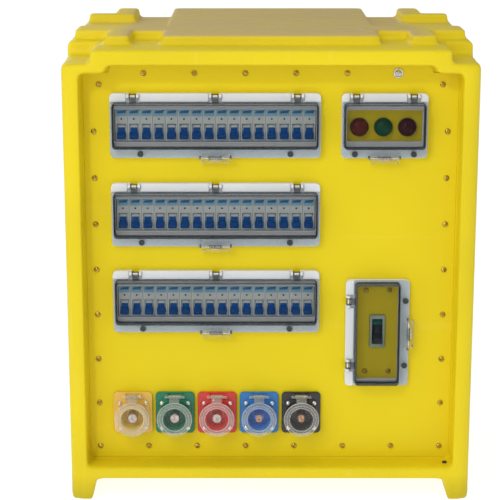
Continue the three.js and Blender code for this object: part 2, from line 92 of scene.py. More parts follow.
def area_light(name, place, target, size, power):
    light = bpy.data.lights.new(name, "AREA")
    light.shape = "RECTANGLE"
    light.size, light.size_y = size
    light.energy = power
    holder = bpy.data.objects.new(name, light)
    holder.location = place
    holder.rotation_euler = (Vector(target) - Vector(place)).to_track_quat("-Z", "Y").to_euler()
    scene.collection.objects.link(holder)


def make_studio():
    for name, light in LIGHTS.items():
        area_light(name, *light)
    world = bpy.data.worlds.new("studio")
    world.use_nodes = True
    background = world.node_tree.nodes["Background"]
    background.inputs["Color"].default_value = (1, 1, 1, 1)
    background.inputs["Strength"].default_value = SKY_STRENGTH
    scene.world = world
    scene.view_settings.view_transform = "Standard"


# ---- Materials ----------------------------------------------------------------------------------
def start_material(name, colour, roughness, metallic=0.0, **fixed):
    """A new material. The names in fixed are the shader's sockets, with _ in place of each space."""
    made = bpy.data.materials.new(name)
    made.use_nodes = True
    shader = made.node_tree.nodes["Principled BSDF"]
    shader.inputs["Base Color"].default_value = (*colour, 1)
    shader.inputs["Roughness"].default_value = roughness
    shader.inputs["Metallic"].default_value = metallic
    for socket, value in fixed.items():
        shader.inputs[socket.replace("_", " ")].default_value = value
    return made, made.node_tree, shader


def place_parts(tree):
    """The X, Y and Z of each point, in the piece's own space."""
    place = tree.nodes.new("ShaderNodeTexCoord")
    parts = tree.nodes.new("ShaderNodeSeparateXYZ")
    tree.links.new(place.outputs["Object"], parts.inputs["Vector"])
    return parts.outputs


def noise(tree, scale, detail=3.0, stretch=(1, 1, 1)):
    place = tree.nodes.new("ShaderNodeTexCoord")
    mapping = tree.nodes.new("ShaderNodeMapping")
    mapping.inputs["Scale"].default_value = stretch
    texture = tree.nodes.new("ShaderNodeTexNoise")
    texture.inputs["Scale"].default_value = scale
    texture.inputs["Detail"].default_value = detail
    tree.links.new(place.outputs["Object"], mapping.inputs["Vector"])
    tree.links.new(mapping.outputs["Vector"], texture.inputs["Vector"])
    return texture.outputs["Fac"]


def spread(tree, value, low, high, start=0.3, end=0.7):
    node = tree.nodes.new("ShaderNodeMapRange")
    node.inputs["From Min"].default_value = start
    node.inputs["From Max"].default_value = end
    node.inputs["To Min"].default_value = low
    node.inputs["To Max"].default_value = high
    tree.links.new(value, node.inputs["Value"])
    return node.outputs["Result"]


def mixed(tree, factor, first, second):
    node = tree.nodes.new("ShaderNodeMix")
    node.data_type = "RGBA"
    tree.links.new(factor, node.inputs["Factor"])
    for socket, value in ((node.inputs["A"], first), (node.inputs["B"], second)):
        if isinstance(value, tuple):
            socket.default_value = (*value, 1)
        else:
            tree.links.new(value, socket)
    return node.outputs["Result"]


def arithmetic(tree, operation, first, second=None):
    node = tree.nodes.new("ShaderNodeMath")
    node.operation = operation
    tree.links.new(first, node.inputs[0])
    if second is not None:
        tree.links.new(second, node.inputs[1])
    return node.outputs["Value"]


def times(tree, first, second):
    return arithmetic(tree, "MULTIPLY", first, second)


def bumped(tree, shader, height, strength, distance):
    node = tree.nodes.new("ShaderNodeBump")
    node.inputs["Strength"].default_value = strength
    node.inputs["Distance"].default_value = distance
    tree.links.new(height, node.inputs["Height"])
    tree.links.new(node.outputs["Normal"], shader.inputs["Normal"])


def facing_up(tree, start, end):
    """1 on faces that look up and 0 on faces that look sideways or down."""
    geometry = tree.nodes.new("ShaderNodeNewGeometry")
    parts = tree.nodes.new("ShaderNodeSeparateXYZ")
    tree.links.new(geometry.outputs["Normal"], parts.inputs["Vector"])
    return spread(tree, parts.outputs["Z"], 0, 1, start, end)


def shade(colour, factor):
    return tuple(min(1.0, part * factor) for part in colour)


def moulded(name, colour, roughness, grain=900, depth=0.00012, variation=0.12, **fixed):
    """Moulded plastic: cloudy colour, a fine grain, and scuffs that change the gloss."""
    made, tree, shader = start_material(name, colour, roughness, **fixed)
    clouds = spread(tree, noise(tree, 14), 0, 1)
    colours = mixed(tree, clouds, shade(colour, 1 - variation), shade(colour, 1 + variation * 0.5))
    tree.links.new(colours, shader.inputs["Base Color"])
    scuffs = spread(tree, noise(tree, 90, 6), roughness * 0.85, min(1.0, roughness * 1.25))
    tree.links.new(scuffs, shader.inputs["Roughness"])
    bumped(tree, shader, noise(tree, grain, 4), 0.5, depth)
    return made


YELLOW = (0.79, 0.62, 0.007)
DUST = (0.57, 0.43, 0.15)
DUSTY_HALF = 205 * MM
DUSTY_FRONT = -100 * MM
TOP_LEVEL = 686 * MM
# How high the painted shade over the feet reaches.
FLOOR_SHADE_TOP = 40 * MM


def dusty_middle(tree):
    """1 on the raised middle and on the level behind the shelves, faint on the rest of the top."""
    place = place_parts(tree)
    sideways = arithmetic(tree, "ABSOLUTE", place["X"])
    inside = spread(tree, sideways, 1, 0.3, DUSTY_HALF, DUSTY_HALF + 30 * MM)
    raised = spread(tree, place["Z"], 0, 1, TOP_LEVEL - 9 * MM, TOP_LEVEL - 2 * MM)
    level = spread(tree, place["Z"], 0, 1, TOP_LEVEL - 26 * MM, TOP_LEVEL - 17 * MM)
    behind = spread(tree, place["Y"], 0, 1, DUSTY_FRONT - 5 * MM, DUSTY_FRONT + 5 * MM)
    return times(tree, inside, arithmetic(tree, "MAXIMUM", raised, times(tree, level, behind)))


def near_the_floor(tree):
    """Nearly 1 at the soles of the feet, fading to 0 at the top of the painted shade."""
    return spread(tree, place_parts(tree)["Z"], 0.9, 0, 0, FLOOR_SHADE_TOP)


def housing_plastic():
    """Rotationally moulded polyethylene: orange peel, pale scratches, dust on what faces up, and painted
    shade near the floor.
    """
    made, tree, shader = start_material("housing_plastic", YELLOW, 0.5, Specular_IOR_Level=0.26)
    clouds = spread(tree, noise(tree, 5), 0, 1)
    base = mixed(tree, clouds, shade(YELLOW, 0.91), shade(YELLOW, 1.02))
    scratch = spread(tree, noise(tree, 60, 8, (1, 1, 0.08)), 0, 0.1, 0.62, 0.7)
    worn = mixed(tree, scratch, base, (0.9, 0.74, 0.2))
    patches = spread(tree, noise(tree, 11, 6), 0.82, 1.0)
    dirt = times(tree, times(tree, facing_up(tree, 0.4, 0.8), patches), dusty_middle(tree))
    # Painted shade: a darker copy of the yellow in uneven patches, fading up from the soles where the
    # floor shades the housing.
    floor_shade = times(tree, near_the_floor(tree), spread(tree, noise(tree, 16, 6), 0.6, 1.0))
    dusty = mixed(tree, dirt, worn, DUST)
    tree.links.new(mixed(tree, floor_shade, dusty, shade(YELLOW, 0.5)), shader.inputs["Base Color"])
    tree.links.new(spread(tree, noise(tree, 40, 6), 0.42, 0.62), shader.inputs["Roughness"])
    bumped(tree, shader, noise(tree, 420, 3), 0.6, 0.0004)
    return made


def panel_plastic():
    """Satin sheet with a faint roll waviness and fine scratches."""
    made, tree, shader = start_material("panel_plastic", YELLOW, 0.42, Specular_IOR_Level=0.18)
    clouds = spread(tree, noise(tree, 3), 0, 1)
    base = mixed(tree, clouds, shade(YELLOW, 0.95), shade(YELLOW, 1.03))
    scratch = spread(tree, noise(tree, 40, 8, (0.06, 1, 1)), 0, 0.07, 0.64, 0.7)
    tree.links.new(mixed(tree, scratch, base, (0.9, 0.75, 0.16)), shader.inputs["Base Color"])
    tree.links.new(spread(tree, noise(tree, 70, 6), 0.34, 0.5), shader.inputs["Roughness"])
    bumped(tree, shader, noise(tree, 9, 2), 0.25, 0.0016)
    return made


def plated(name, colour, roughness, tarnish):
    """Plated metal with fine brushing and darker tarnish in patches."""
    made, tree, shader = start_material(name, colour, roughness, 1.0)
    patches = spread(tree, noise(tree, 300, 6), 0, 0.85, 0.42, 0.66)
    tree.links.new(mixed(tree, patches, colour, tarnish), shader.inputs["Base Color"])
    brushed = noise(tree, 700, 3, (1, 1, 0.05))
    tree.links.new(spread(tree, brushed, roughness * 0.7, roughness * 1.4), shader.inputs["Roughness"])
    bumped(tree, shader, brushed, 0.25, 0.00005)
    return made


def see_through(name, colour, alpha, roughness, gloss):
    """Clear plastic with rub marks, thin enough that light passes straight on."""
    made, tree, shader = start_material(
        name, colour, roughness, Alpha=alpha, Specular_IOR_Level=gloss,
    )
    rubbed = spread(tree, noise(tree, 120, 7), roughness * 0.6, roughness * 2.2)
    tree.links.new(rubbed, shader.inputs["Roughness"])
    clouds = spread(tree, noise(tree, 20), 0, 1)
    colours = mixed(tree, clouds, shade(colour, 0.88), shade(colour, 1.1))
    tree.links.new(colours, shader.inputs["Base Color"])
    bumped(tree, shader, noise(tree, 25, 2), 0.08, 0.0008)
    return made


def lens_plastic(name, colour):
    """A coloured lamp lens: smooth outside, with the facets moulded behind it showing as cells, and
    painted light in each cell.
    """
    made, tree, shader = start_material(
        name, colour, 0.3, Specular_IOR_Level=0.02, Coat_Weight=0.4, Coat_Roughness=0.15,
    )
    place = tree.nodes.new("ShaderNodeTexCoord")
    cells = tree.nodes.new("ShaderNodeTexVoronoi")
    cells.inputs["Scale"].default_value = 420
    cells.inputs["Randomness"].default_value = 0.35
    tree.links.new(place.outputs["Object"], cells.inputs["Vector"])
    # Painted light: each cell is a lighter copy of the lens colour in its middle and a darker one at its
    # edge, as the facets catch the light.
    lit = spread(tree, cells.outputs["Distance"], 0, 1, 0.1, 0.7)
    colours = mixed(tree, lit, shade(colour, 1.9), shade(colour, 0.45))
    tree.links.new(colours, shader.inputs["Base Color"])
    bumped(tree, shader, cells.outputs["Distance"], 0.35, 0.0004)
    return made


SOCKET_COLOURS = {
    "yellow": (0.78, 0.49, 0.085),
    "green": (0.008, 0.19, 0.10),
    "red": (0.64, 0.035, 0.03),
    "blue": (0.02, 0.19, 0.52),
    "black": (0.028, 0.027, 0.026),
}


def make_materials():
    made = {
        "housing": housing_plastic(),
        "panel": panel_plastic(),
        "frame": moulded("frame_plastic", (0.73, 0.75, 0.76), 0.36, 1200, 0.00004, 0.05),
        "smoked": see_through("smoked_pane", (0.008, 0.013, 0.016), 0.22, 0.07, 0.08),
        "smoked_wall": see_through("smoked_wall", (0.03, 0.042, 0.045), 0.4, 0.12, 0.4),
        "smoked_flange": see_through("smoked_flange", (0.37, 0.47, 0.53), 0.26, 0.16, 0.3),
        "clear": see_through("clear_plastic", (0.55, 0.55, 0.52), 0.035, 0.08, 0.6),
        "clear_edge": see_through("clear_edge", (0.56, 0.56, 0.52), 0.2, 0.1, 0.7),
        # Painted highlights: a lighter, less clear plastic for bright lines on the edges of clear parts.
        "clear_highlight": see_through("clear_highlight", (0.68, 0.67, 0.63), 0.5, 0.14, 1.0),
        "breaker": moulded("breaker_plastic", (0.73, 0.78, 0.76), 0.45, 1800, 0.00005, 0.06),
        "label": moulded("label_film", (0.30, 0.56, 0.70), 0.35, 1500, 0.00002, 0.15),
        "stripe": moulded("label_stripe", (0.01, 0.17, 0.42), 0.35, 1500, 0.00002, 0.15),
        "toggle": moulded(
            "toggle_plastic", (0.001, 0.095, 0.38), 0.38, 1500, 0.00005, 0.1, Specular_IOR_Level=0.2,
        ),
        "seal": moulded("seal_rubber", (0.030, 0.034, 0.036), 0.7, 1300, 0.0001, 0.2),
        "cap": moulded("cap_plastic", (0.035, 0.045, 0.05), 0.45, 1300, 0.00006, 0.2),
        "steel": plated("bright_steel", (0.72, 0.71, 0.69), 0.26, (0.40, 0.38, 0.35)),
        "dark_steel": plated("spring_steel", (0.22, 0.21, 0.20), 0.3, (0.07, 0.07, 0.065)),
        "screw": plated("yellow_zinc", (0.64, 0.46, 0.09), 0.3, (0.20, 0.12, 0.02)),
        "copper": plated("bare_copper", (0.56, 0.31, 0.19), 0.3, (0.24, 0.12, 0.07)),
        "nickel": plated("nickel_plate", (0.93, 0.92, 0.90), 0.24, (0.62, 0.60, 0.58)),
        "contact": plated("silvered_contact", (0.62, 0.54, 0.49), 0.4, (0.40, 0.32, 0.28)),
        "switch": moulded("switch_grey", (0.42, 0.50, 0.42), 0.45, 1400, 0.00006, 0.1),
        "shutter": moulded("switch_shutter", (0.01, 0.16, 0.14), 0.4, 1400, 0.00004, 0.15),
        "black": moulded("switch_black", (0.014, 0.018, 0.019), 0.36, 1400, 0.00006, 0.2),
        "outlet": plated("anodised_shell", (0.10, 0.10, 0.105), 0.42, (0.05, 0.05, 0.05)),
        "insert": moulded("outlet_insert", (0.03, 0.03, 0.032), 0.5, 1400, 0.00006, 0.2),
        "lamp_left": lens_plastic("lens_red", (0.13, 0.012, 0.001)),
        "lamp_middle": lens_plastic("lens_green", (0.001, 0.08, 0.03)),
        "lamp_right": lens_plastic("lens_dark_red", (0.055, 0.002, 0.005)),
    }
    for name, colour in SOCKET_COLOURS.items():
        made["socket_" + name] = moulded("socket_plastic_" + name, colour, 0.24, 1300, 0.00003, 0.1)
        # Painted light: each bore's liner is a lighter copy of its socket's colour, so the inside of the
        # bore looks lit.
        lit_liner_colour = [min(0.94, channel * 1.5 + 0.01) for channel in colour]
        made["liner_" + name] = moulded("socket_liner_" + name, lit_liner_colour, 0.3, 1300, 0.00005, 0.05)
    return made


MATERIALS = {}


# ---- Mesh tools ---------------------------------------------------------------------------------
def finished(name, shape, material, body, replaced=(), space=Matrix.Identity(4), sharp=38):
    """Turns a bmesh into a smooth-shaded piece of the object, moved from its own space into the box's."""
    bmesh.ops.recalc_face_normals(shape, faces=shape.faces)
    data = bpy.data.meshes.new(name)
    shape.to_mesh(data)
    shape.free()
    data.transform(space)
    data.shade_smooth()
    data.set_sharp_from_angle(angle=math.radians(sharp))
    data.materials.append(MATERIALS[material])
    piece = bpy.data.objects.new(name, data)
    scene.collection.objects.link(piece)
    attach(piece, body)
    if replaced:
        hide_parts(*replaced)
    return piece


def joined(*shapes):
    whole = bmesh.new()
    for shape in shapes:
        data = bpy.data.meshes.new("part")
        shape.to_mesh(data)
        shape.free()
        whole.from_mesh(data)
        bpy.data.meshes.remove(data)
    return whole


def copies(shape, transforms):
    """The same shape again at each of the transforms."""
    data = bpy.data.meshes.new("part")
    shape.to_mesh(data)
    shape.free()
    whole = bmesh.new()
    for transform in transforms:
        one = bmesh.new()
        one.from_mesh(data)
        one.transform(transform)
        moved = bpy.data.meshes.new("copy")
        one.to_mesh(moved)
        one.free()
        whole.from_mesh(moved)
        bpy.data.meshes.remove(moved)
    bpy.data.meshes.remove(data)
    return whole


def at(x, y, z):
    """A move by millimetres."""
    return Matrix.Translation((x * MM, y * MM, z * MM))


def block(x0, x1, y0, y1, z0, z1, radius, steps=2):
    """A box with all its edges rounded."""
    shape = bmesh.new()
    size = Matrix.Diagonal((x1 - x0, y1 - y0, z1 - z0, 1))
    bmesh.ops.create_cube(shape, size=MM, matrix=at((x0 + x1) / 2, (y0 + y1) / 2, (z0 + z1) / 2) @ size)
    bmesh.ops.bevel(
        shape, geom=list(shape.edges), offset=radius * MM, segments=steps, profile=0.5,
        affect="EDGES", clamp_overlap=True,
    )
    return shape


def arc(centre_x, centre_z, radius, start, turn, steps):
    return [
        (
            centre_x + radius * math.cos(math.radians(start + turn * step / steps)),
            centre_z + radius * math.sin(math.radians(start + turn * step / steps)),
        )
        for step in range(steps + 1)
    ]


def rounded(x0, x1, z0, z1, low, high=None, steps=5):
    """The outline of a rectangle with rounded lower and upper corners."""
    high = low if high is None else high
    return (
        arc(x1 - low, z0 + low, low, -90, 90, steps)
        + arc(x1 - high, z1 - high, high, 0, 90, steps)
        + arc(x0 + high, z1 - high, high, 90, 90, steps)
        + arc(x0 + low, z0 + low, low, 180, 90, steps)
    )


def circle(radius, steps, x=0.0, z=0.0):
    return arc(x, z, radius, 0, 360 - 360 / steps, steps - 1)


def slab(outlines, y0, y1, bevel, steps=2):
    """A plate in X and Z with rounded edges. The first outline is its edge and the rest are holes."""
    curve = bpy.data.curves.new("slab", "CURVE")
    curve.dimensions = "2D"
    curve.fill_mode = "BOTH"
    curve.extrude = ((y1 - y0) / 2 - bevel) * MM
    curve.bevel_depth = bevel * MM
    curve.bevel_resolution = steps
    curve.offset = -bevel * MM
    for outline in outlines:
        spline = curve.splines.new("POLY")
        spline.points.add(len(outline) - 1)
        spline.use_cyclic_u = True
        for point, (x, z) in zip(spline.points, outline):
            point.co = (x * MM, z * MM, 0, 1)
    holder = bpy.data.objects.new("slab", curve)
    scene.collection.objects.link(holder)
    data = bpy.data.meshes.new_from_object(holder.evaluated_get(bpy.context.evaluated_depsgraph_get()))
    bpy.data.objects.remove(holder)
    bpy.data.curves.remove(curve)
    shape = bmesh.new()
    shape.from_mesh(data)
    bpy.data.meshes.remove(data)
    bmesh.ops.remove_doubles(shape, verts=shape.verts, dist=1e-6)
    bmesh.ops.dissolve_degenerate(shape, dist=1e-6, edges=shape.edges)
    shape.transform(at(0, (y0 + y1) / 2, 0) @ Matrix.Rotation(math.radians(90), 4, "X"))
    return shape


def loft(rings, hollow=False):
    """A skin through rings of as many points each. Its ends are filled, or joined if it is hollow."""
    shape = bmesh.new()
    rows = [[shape.verts.new([part * MM for part in point]) for point in ring] for ring in rings]
    pairs = list(zip(rows, rows[1:]))
    if hollow:
        pairs.append((rows[-1], rows[0]))
    else:
        shape.faces.new(rows[0])
        shape.faces.new(reversed(rows[-1]))
    for row, following in pairs:
        for index, corner in enumerate(row):
            before = index - 1
            shape.faces.new((row[before], corner, following[index], following[before]))
    return shape


def turned(profile, steps, axis="Y"):
    """A solid of revolution from points of (radius, place along the axis)."""
    shape = bmesh.new()
    rows = []
    for radius, along in profile:
        if radius == 0:
            rows.append([shape.verts.new((0, along * MM, 0))] * steps)
        else:
            rows.append([shape.verts.new((x, along * MM, z)) for x, z in circle(radius * MM, steps)])
    for row, following in zip(rows, rows[1:]):
        for index in range(steps):
            corners = dict.fromkeys((row[index - 1], row[index], following[index], following[index - 1]))
            if len(corners) > 2:
                shape.faces.new(list(corners))
    if axis == "X":
        shape.transform(Matrix.Rotation(math.radians(-90), 4, "Z"))
    return shape


def pin(radius, x0, x1, y, z, steps=16):
    """A round pin along X with softened ends."""
    soft = radius * 0.2
    profile = [
        (0, x0), (radius - soft, x0), (radius, x0 + soft),
        (radius, x1 - soft), (radius - soft, x1), (0, x1),
    ]
    shape = turned(profile, steps, "X")
    shape.transform(at(0, y, z))
    return shape


def ridge(points, x0, x1, bevel):
    """A profile of (y, z) points, extruded along X, with rounded edges."""
    shape = bmesh.new()
    face = shape.faces.new([shape.verts.new((x0 * MM, y * MM, z * MM)) for y, z in points])
    grown = bmesh.ops.extrude_face_region(shape, geom=[face])["geom"]
    moved = [item for item in grown if isinstance(item, bmesh.types.BMVert)]
    bmesh.ops.translate(shape, verts=moved, vec=((x1 - x0) * MM, 0, 0))
    bmesh.ops.recalc_face_normals(shape, faces=shape.faces)
    bmesh.ops.bevel(
        shape, geom=list(shape.edges), offset=bevel * MM, segments=2, profile=0.5,
        affect="EDGES", clamp_overlap=True,
    )
    return shape


def applied(shape, name, add_modifiers):
    """Runs modifiers on a bmesh and gives back the result."""
    data = bpy.data.meshes.new(name)
    shape.to_mesh(data)
    shape.free()
    holder = bpy.data.objects.new(name, data)
    scene.collection.objects.link(holder)
    add_modifiers(holder)
    done = bpy.data.meshes.new_from_object(holder.evaluated_get(bpy.context.evaluated_depsgraph_get()))
    result = bmesh.new()
    result.from_mesh(done)
    bpy.data.objects.remove(holder)
    bpy.data.meshes.remove(data)
    bpy.data.meshes.remove(done)
    return result


def carved(shape, cutter):
    """The shape with the cutter taken out of it."""
    data = bpy.data.meshes.new("cutter")
    bmesh.ops.recalc_face_normals(cutter, faces=cutter.faces)
    cutter.to_mesh(data)
    cutter.free()
    tool = bpy.data.objects.new("cutter", data)
    scene.collection.objects.link(tool)
    bmesh.ops.recalc_face_normals(shape, faces=shape.faces)

    def add(holder):
        modifier = holder.modifiers.new("cut", "BOOLEAN")
        modifier.operation = "DIFFERENCE"
        modifier.solver = "EXACT"
        modifier.use_self = True
        modifier.object = tool

    result = applied(shape, "carved", add)
    bpy.data.objects.remove(tool)
    bpy.data.meshes.remove(data)
    return result


def on_both_sides(near, far):
    """The same stretch of X on the left and on the right of the middle, lowest end first."""
    return (-far, -near), (near, far)


def box(node):
    """A CAD node's lowest and highest corners, in millimetres."""
    return [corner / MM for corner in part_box(node)]


def middle(node):
    low, high = box(node)
    return (low + high) / 2


# ---- Housing and panels -------------------------------------------------------------------------
VOXEL = 3.2 * MM
SMOOTHING = 24
CRISP = 0.45
HOUSING_TRIANGLES = 70000
# Each recess: half its width, its lowest and its highest point.
FRONT_RECESS = (276 * MM, 46 * MM, 654 * MM)
REAR_RECESS = (252 * MM, 46 * MM, 660 * MM)
BEFORE_FRONT_PANEL = -190 * MM
BEHIND_REAR_PANEL = 200 * MM
SOLES_TOP = 14 * MM
BLOCKS_LOW = 664 * MM


def within(place, half, low, high):
    return abs(place.x) < half and low < place.z < high


def is_crisp(place):
    """The recesses, the blocks on top and the soles of the feet keep sharper edges than the rest."""
    in_front = place.y < BEFORE_FRONT_PANEL and within(place, *FRONT_RECESS)
    in_back = place.y > BEHIND_REAR_PANEL and within(place, *REAR_RECESS)
    return in_front or in_back or place.z < SOLES_TOP or place.z > BLOCKS_LOW


def make_housing():
    """The housing with its edges melted round, as they come out of a rotating mould."""
    shape = bmesh.new()
    shape.from_mesh(frame["nodes"]["enclosure_shell"].data)
    bmesh.ops.remove_doubles(shape, verts=shape.verts, dist=1e-6)

    def even_out(holder):
        remesh = holder.modifiers.new("remesh", "REMESH")
        remesh.mode = "VOXEL"
        remesh.voxel_size = VOXEL

    def melt(holder):
        soft = holder.vertex_groups.new(name="soft")
        for point in holder.data.vertices:
            soft.add([point.index], CRISP if is_crisp(point.co) else 1, "REPLACE")
        smooth = holder.modifiers.new("smooth", "SMOOTH")
        smooth.factor = 0.5
        smooth.iterations = SMOOTHING
        smooth.vertex_group = soft.name

    melted = applied(applied(shape, "housing_body", even_out), "housing_body", melt)
    share = HOUSING_TRIANGLES / (2 * len(melted.faces))

    def thin(holder):
        decimate = holder.modifiers.new("decimate", "DECIMATE")
        decimate.ratio = share

    housing = applied(melted, "housing_body", thin)
    finished("housing", housing, "housing", "root",
             ["enclosure_shell"], sharp=60)


def paint(node, material):
    slots = frame["nodes"][node].data.materials
    if not slots:
        slots.append(MATERIALS[material])
    for index in range(len(slots)):
        slots[index] = MATERIALS[material]


HEAD_RADIUS = 4.2
HEAD_HEIGHT = 2.6
SCREW_COLUMN = 72.8
SCREW_RISE = 68.4
SCREW_LOW = 70.8
SCREW_TOP = 633.6
SHOULDER_X = 246
SHOULDER_Z = 617.6
REAR_INSET = 13


def pan_head(radius, height):
    """A screw head on the plane y = 0, with a cross recess."""
    dome = [(0, 0), (radius, 0), (radius, -0.3 * height), (0.86 * radius, -0.72 * height),
            (0.55 * radius, -0.95 * height), (0, -height)]
    arm = radius * 0.52
    half = radius * 0.13
    deep = -0.45 * height
    bars = joined(
        block(-arm, arm, -2 * height, deep, -half, half, half * 0.4, 1),
        block(-half, half, -2 * height, deep, -arm, arm, half * 0.4, 1),
    )
    return carved(turned(dome, 20), bars)


def screw_places():
    """The panel's screws: eight columns, with a row along the bottom, one up each side and one on top."""
    places = [((index - 3.5) * SCREW_COLUMN, SCREW_LOW) for index in range(8)]
    for side in (-1, 1):
        places += [(side * 3.5 * SCREW_COLUMN, SCREW_LOW + step * SCREW_RISE) for step in range(1, 8)]
        places.append((side * SHOULDER_X, SHOULDER_Z))
    places += [((index - 2.5) * SCREW_COLUMN, SCREW_TOP) for index in range(5)]
    return places


def spun(x, y, z, flip=False):
    """A place for a screw, turned by chance about its own axis."""
    turn = Matrix.Rotation(dice.uniform(0, math.pi / 2), 4, "Y")
    back = Matrix.Rotation(math.pi, 4, "Z") if flip else Matrix.Identity(4)
    return at(x, y, z) @ back @ turn


def make_front_panel(face):
    paint("front_panel", "panel")
    paint("earth_bar", "copper")
    heads = copies(pan_head(HEAD_RADIUS, HEAD_HEIGHT), [spun(x, face, z) for x, z in screw_places()])
    finished("panel_screws", heads, "screw", "root")
    earth = (2.5 * SCREW_COLUMN, face, SCREW_TOP)
    washer = turned([(3.4, 0), (7.4, 0), (7.4, -0.9), (6.9, -1.4), (3.4, -1.4), (3.4, 0)], 28)
    washer.transform(at(*earth))
    finished("earth_washer", washer, "steel", "root")
    head = pan_head(5.2, 4)
    head.transform(at(earth[0], face - 1.2, earth[2]))
    finished("earth_screw", head, "steel", "root")


def make_rear_panel():
    paint("rear_panel", "panel")
    low, high = box("rear_panel")
    wide = high.x - low.x - 2 * REAR_INSET
    tall = high.z - low.z - 2 * REAR_INSET
    xs = [low.x + REAR_INSET + index * wide / 5 for index in range(6)]
    zs = [low.z + REAR_INSET + index * tall / 6 for index in range(7)]
    places = [(x, z) for x in xs for z in (zs[0], zs[-1])]
    places += [(x, z) for x in (xs[0], xs[-1]) for z in zs[1:-1]]
    heads = copies(pan_head(HEAD_RADIUS, HEAD_HEIGHT), [spun(x, high.y, z, True) for x, z in places])
    finished("rear_panel_screws", heads, "screw", "root")


def make_drain_plug():
    """A small dark plug in the ledge under the front panel."""
    low, high = box("front_panel")
    plug = turned([(0, -2), (3.4, -2), (3.4, 0.8), (2.6, 1.3), (0, 1.3)], 20)
    place = at(high.x - 7.5, low.y - 20, low.z - 1.2)
    plug.transform(place @ Matrix.Rotation(math.pi / 2, 4, "X"))
    finished("drain_plug", plug, "seal", "root")


# ---- Hinged windows -----------------------------------------------------------------------------
HIGH = 94
FRAME_FACE = -6
BAND = 13
CORNER = 6.5
HINGE_Y = -10.2
HINGE_Z = 43
KNUCKLE = 3.4
LATCH_Y = -16
LATCH_Z = -45.5
OPENINGS = {"lamps": (108, 45.5), "switch": (142, 60)}
ROW_OPENING = (290, 47)
HINGES = {"lamps": (-41, 41), "switch": (-49, 49)}
ROW_HINGES = (-118, 0, 118)
NOTCH_HALF = 5.3
NOTCH_DEPTH = 6.5
# How far each of a cover's two screw caps is from the middle.
CAP_REACHES = {"lamps": 42.5, "switch": 49.6}
ROW_CAP_REACH = 108
CAP_Z = -41
LIP = 2.2
CATCH_HALF = 9.5
CATCH_DROP = 3.4
BAND_FACE = -9.6
BAND_LAP = 1.5
BAND_GAP = 9.5
LUG_NEAR = 5.4
LUG_FAR = 9


def window_space(name):
    """The window's own space, and its length along the hinge."""
    low, high = box("window_frame_" + name)
    if name != "switch":
        return at((low.x + high.x) / 2, high.y + 0.3, high.z - HIGH / 2), high.x - low.x
    turn = Matrix.Rotation(math.radians(-90), 4, "Y")
    return at(low.x + HIGH / 2, high.y + 0.3, (low.z + high.z) / 2) @ turn, high.z - low.z


def frame_edge(half, high, hinges):
    """The frame's outline, with a notch in its top edge at each hinge."""
    top = []
    for x in reversed(hinges):
        right, left, floor = x + NOTCH_HALF, x - NOTCH_HALF, high - NOTCH_DEPTH
        top += [(right, high), (right, floor), (left, floor), (left, high)]
    return (
        arc(half - CORNER, -high + CORNER, CORNER, -90, 90, 6)
        + arc(half - CORNER, high - CORNER, CORNER, 0, 90, 6)
        + top
        + arc(-half + CORNER, high - CORNER, CORNER, 90, 90, 6)
        + arc(-half + CORNER, -high + CORNER, CORNER, 180, 90, 6)
    )


def frame_plate(name, half, high, hinges):
    """The flat frame, the lip round its opening, and the tab below that the latch snaps over."""
    wide, tall = (size / 2 for size in OPENINGS.get(name, ROW_OPENING))
    hole = rounded(-wide, wide, -tall, tall, 2, steps=3)[::-1]
    lip = rounded(-wide - LIP, wide + LIP, -tall - LIP, tall + LIP, 4, steps=3)
    return [
        slab([frame_edge(half, high, hinges), hole], FRAME_FACE, -0.3, 0.8),
        slab([lip, hole], FRAME_FACE - 1.2, FRAME_FACE + BAND_LAP, 0.4, 1),
        block(-CATCH_HALF, CATCH_HALF, FRAME_FACE, -2, -high - CATCH_DROP, -high + 2, 1.4),
    ]


def raised_band(half, high, hinges):
    """The thick band along the frame's top, in stretches that leave room for the hinges."""
    stops = [-half] + [x + side * BAND_GAP for x in hinges for side in (-1, 1)] + [half]
    stretches = list(zip(stops[::2], stops[1::2]))
    outlines = [band_end(*stretches[0], high, True)]
    for start, end in stretches[1:-1]:
        outlines.append(rounded(start, end, high - BAND + 0.5, high, 1.5))
    outlines.append(band_end(*stretches[-1], high, False))
    return [slab([outline], BAND_FACE, FRAME_FACE + BAND_LAP, 1) for outline in outlines]


def knuckles(hinges):
    """At each hinge, the tube round the pin and a lug on each side of it."""
    parts = []
    for x in hinges:
        parts.append(pin(1.5, x - 3.4, x + 3.4, HINGE_Y, HINGE_Z, 20))
        for left, right in on_both_sides(LUG_NEAR, LUG_FAR):
            parts.append(ridge(lug_profile(), x + left, x + right, 0.35))
    return parts


def make_window_frame(name, space, length):
    hinges = HINGES.get(name, ROW_HINGES)
    half, high = length / 2, HIGH / 2
    parts = frame_plate(name, half, high, hinges) + raised_band(half, high, hinges) + knuckles(hinges)
    finished("frame_" + name, joined(*parts), "frame", "root",
             ["window_frame_" + name], space)
    reach = LUG_FAR + 0.3
    pins = joined(*[pin(1.3, x - reach, x + reach, HINGE_Y, HINGE_Z) for x in hinges])
    finished("hinge_pins_" + name, pins, "steel", "root", space=space)


def band_end(start, end, high, left):
    """The raised band's outline at an end of the frame, with the frame's rounded top corner."""
    low, small = high - BAND + 0.5, 1.5
    top_right = small if left else CORNER
    top_left = CORNER if left else small
    return (
        arc(end - small, low + small, small, -90, 90, 3)
        + arc(end - top_right, high - top_right, top_right, 0, 90, 6)
        + arc(start + top_left, high - top_left, top_left, 90, 90, 6)
        + arc(start + small, low + small, small, 180, 90, 3)
    )


def lug_profile():
    """A hinge lug: round about the pin in front, square where it meets the frame."""
    round_part = [(HINGE_Y + y, HINGE_Z + z) for y, z in arc(0, 0, KNUCKLE, 90, 180, 8)]
    return round_part + [(FRAME_FACE + 1, HINGE_Z - KNUCKLE), (FRAME_FACE + 1, HINGE_Z + KNUCKLE)]


DOME_INSET = 3.2
DOME_LOW = -33
DOME_HIGH = 33.2
SEAL_WIDTH = 2.5
SEAL_TOP = 0.9
